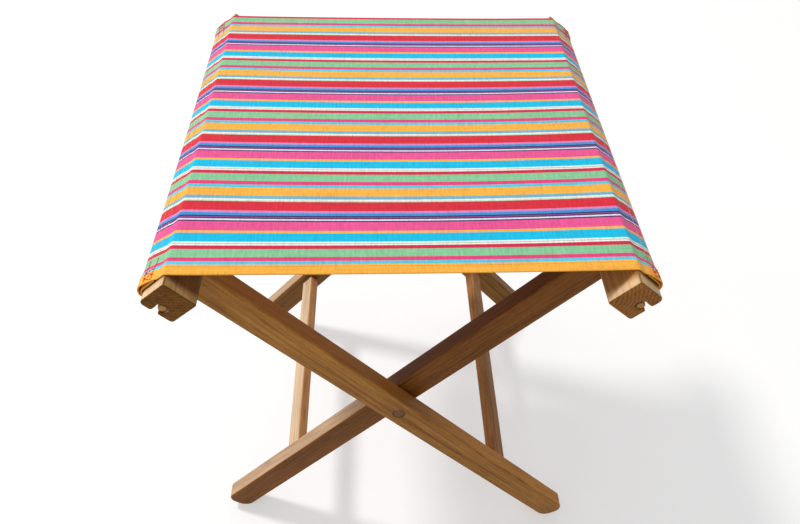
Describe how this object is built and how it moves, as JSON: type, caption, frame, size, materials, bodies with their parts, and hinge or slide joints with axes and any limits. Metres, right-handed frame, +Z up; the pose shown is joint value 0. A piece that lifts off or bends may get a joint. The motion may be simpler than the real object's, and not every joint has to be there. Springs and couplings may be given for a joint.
{
  "type": "folding camp stool",
  "caption": "Backless folding camp seat: two crossed hardwood frames on a scissor pivot, with a flat striped canvas sling held by rods in grooved rails.",
  "frame": {"origin": "on the floor under the middle of the seat, the middle of the bounding box's base", "axes": "+X from the left rail to the right rail, +Y from the front to the back, +Z up"},
  "size_m": [0.4234, 0.437, 0.477],
  "materials": {
    "frame_wood": "oiled straight-grained teak with softened edges, low satin sheen",
    "rod_wood": "plain turned hardwood rod, sawn ends",
    "plug_wood": "side-grain teak plug, a little darker than the leg",
    "pivot_steel": "zinc-plated steel",
    "washer_nylon": "natural nylon",
    "canvas": "heavy plain-weave cotton canvas with woven multicolour stripes from rail to rail"
  },
  "bodies": {
    "outer_frame": {"rail_left": "frame_wood", "canvas_rod_left": "rod_wood", "canvas_pocket_left": "canvas", "leg_front_outer": "frame_wood", "leg_back_outer": "frame_wood", "stretcher_outer": "frame_wood", "plug_front_outer": "plug_wood", "plug_back_outer": "plug_wood"},
    "seat_and_pivots": {"canvas_panel": "canvas", "pivot_bolt_front": "pivot_steel", "pivot_bolt_back": "pivot_steel", "pivot_nut_front": "pivot_steel", "pivot_nut_back": "pivot_steel", "pivot_washer_front": "washer_nylon", "pivot_washer_back": "washer_nylon"},
    "inner_frame": {"rail_right": "frame_wood", "canvas_rod_right": "rod_wood", "canvas_pocket_right": "canvas", "leg_front_inner": "frame_wood", "leg_back_inner": "frame_wood", "stretcher_inner": "frame_wood", "plug_front_inner": "plug_wood", "plug_back_inner": "plug_wood"}
  },
  "joints": [
    {"name": "fold", "type": "hinge", "parent": "outer_frame", "child": "seat_and_pivots", "pos_m": [0, 0, 0.23998], "axis": [0, -1, 0], "range_deg": [0, 36], "deforming": ["canvas_panel"]},
    {"name": "fold_inner", "type": "hinge", "parent": "seat_and_pivots", "child": "inner_frame", "pos_m": [0, 0, 0.23998], "axis": [0, -1, 0], "range_deg": [0, 36]}
  ],
  "couplings": [
    {"joint": "fold_inner", "follows": "fold", "ratio": 1}
  ]
}
